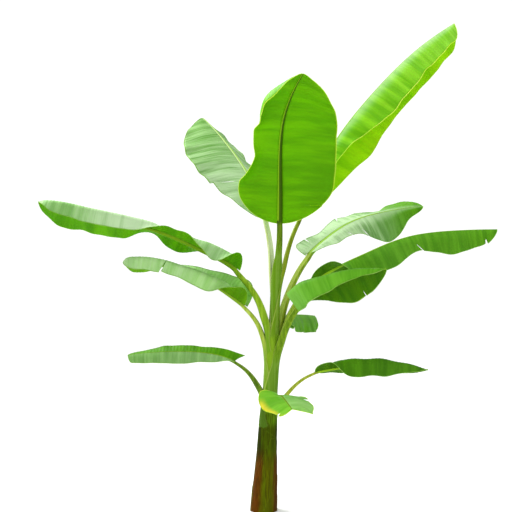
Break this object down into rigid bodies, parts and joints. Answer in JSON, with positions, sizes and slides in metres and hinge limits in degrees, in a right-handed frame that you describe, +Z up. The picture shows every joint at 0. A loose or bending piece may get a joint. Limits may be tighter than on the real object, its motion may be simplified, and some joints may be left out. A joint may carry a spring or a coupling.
{
  "type": "banana plant",
  "caption": "Young banana plant rooted in the ground: a leaning pseudostem that forks into arching stalks with long folded leaf blades.",
  "frame": {"origin": "middle of the flat cut under the pseudostem, at ground level", "axes": "+Z up along the plant's height, +X to the side it leans to, -Y towards its front"},
  "size_m": [2.0839, 1.0984, 2.2001],
  "materials": {
    "stem": "smooth fibrous sheaths, satin",
    "stalk": "smooth waxy skin, satin",
    "blade": "ribbed leaf, waxy above and paler below"
  },
  "bodies": {
    "root": {"pseudostem": "stem", "stalk_low_left": "stalk", "stalk_low_right": "stalk", "stalk_small_front": "stalk", "stalk_mid_right": "stalk", "stalk_mid_left": "stalk", "stalk_mid_back": "stalk", "stalk_long_right": "stalk", "stalk_long_left": "stalk", "stalk_upper_right": "stalk", "stalk_tall_right": "stalk", "stalk_tall_back": "stalk", "stalk_tall_front": "stalk", "blade_low_left": "blade", "blade_low_right": "blade", "blade_small_front": "blade", "blade_mid_right": "blade", "blade_mid_left": "blade", "blade_mid_back": "blade", "blade_long_right": "blade", "blade_long_left": "blade", "blade_upper_right": "blade", "blade_tall_right": "blade", "blade_tall_back": "blade", "blade_tall_front": "blade"}
  },
  "joints": []
}
